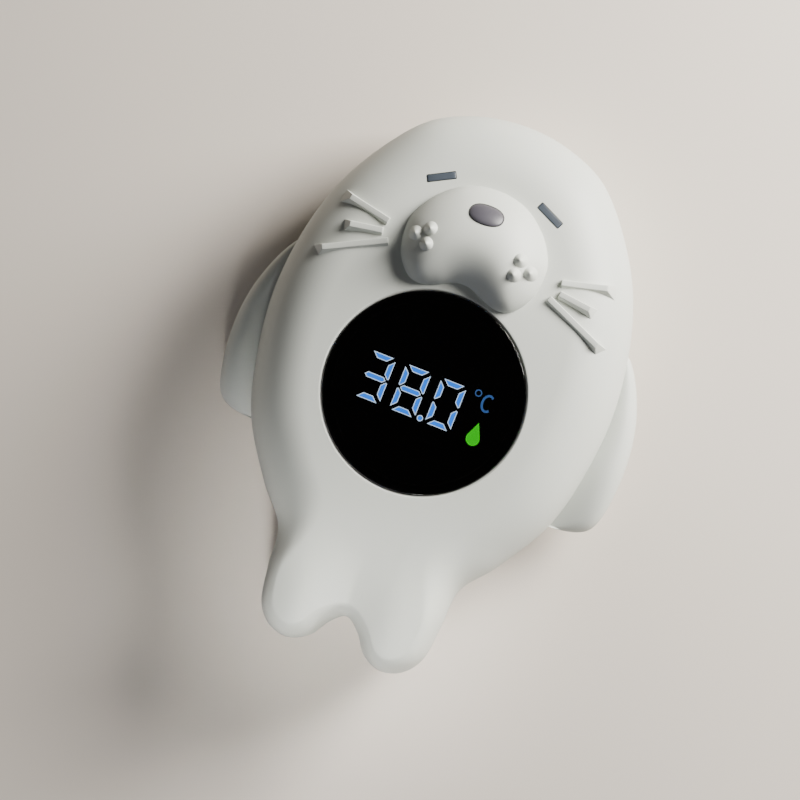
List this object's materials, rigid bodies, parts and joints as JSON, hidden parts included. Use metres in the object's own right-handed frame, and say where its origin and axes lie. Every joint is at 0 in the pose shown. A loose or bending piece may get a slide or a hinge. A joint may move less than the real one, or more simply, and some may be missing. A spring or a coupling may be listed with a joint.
{
  "type": "baby bath thermometer",
  "caption": "Floating seal-shaped bath thermometer with a round lit display under its muzzle, side flippers, a forked tail and a screwed battery door in its belly.",
  "frame": {"origin": "below the middle of the object's box, on the surface that its belly rests on", "axes": "+Z out of the display, +Y from the tail to the head, +X across the body to the right of someone who reads the display"},
  "size_m": [0.0814, 0.1084, 0.0349],
  "materials": {
    "shell_plastic": "fine matte moulded plastic, light sage grey",
    "eye_plastic": "satin slate blue plastic insert",
    "nose_plastic": "glossy grey violet plastic insert",
    "smoked_lens": "polished smoked acrylic, nearly black",
    "silicone_seal": "soft grey silicone rubber",
    "black_gasket": "black closed-cell foam tape",
    "display_housing": "matte black plastic",
    "display_film": "diffusing film, lit pale blue and green",
    "circuit_board": "green solder mask on glass laminate",
    "chip_resin": "black epoxy resin",
    "cell_jacket": "plain shrink sleeve over a steel can",
    "nickel_plate": "nickel-plated spring steel",
    "stainless_steel": "bright stainless steel",
    "thermistor_resin": "dark epoxy bead"
  },
  "bodies": {
    "root": {"front_shell": "shell_plastic", "rear_shell": "shell_plastic", "left_eye": "eye_plastic", "right_eye": "eye_plastic", "nose": "nose_plastic", "shell_seal": "silicone_seal", "display_lens": "smoked_lens", "lens_gasket": "black_gasket", "display_housing": "display_housing", "display_film": "display_film", "main_board": "circuit_board", "control_chip": "chip_resin", "battery_door": "shell_plastic", "door_seal": "silicone_seal", "left_cell": "cell_jacket", "right_cell": "cell_jacket", "contact_bridge": "nickel_plate", "negative_contact": "nickel_plate", "positive_contact": "nickel_plate", "negative_spring": "stainless_steel", "bridge_spring": "stainless_steel", "temperature_probe": "stainless_steel", "thermistor": "thermistor_resin", "probe_seal": "silicone_seal", "left_water_contact": "stainless_steel", "right_water_contact": "stainless_steel", "left_contact_seal": "silicone_seal", "right_contact_seal": "silicone_seal", "shell_screw_1": "stainless_steel", "shell_screw_2": "stainless_steel", "shell_screw_3": "stainless_steel", "shell_screw_4": "stainless_steel", "board_screw_1": "stainless_steel", "board_screw_2": "stainless_steel", "board_screw_3": "stainless_steel", "board_screw_4": "stainless_steel", "door_screw": "stainless_steel"}
  },
  "joints": []
}
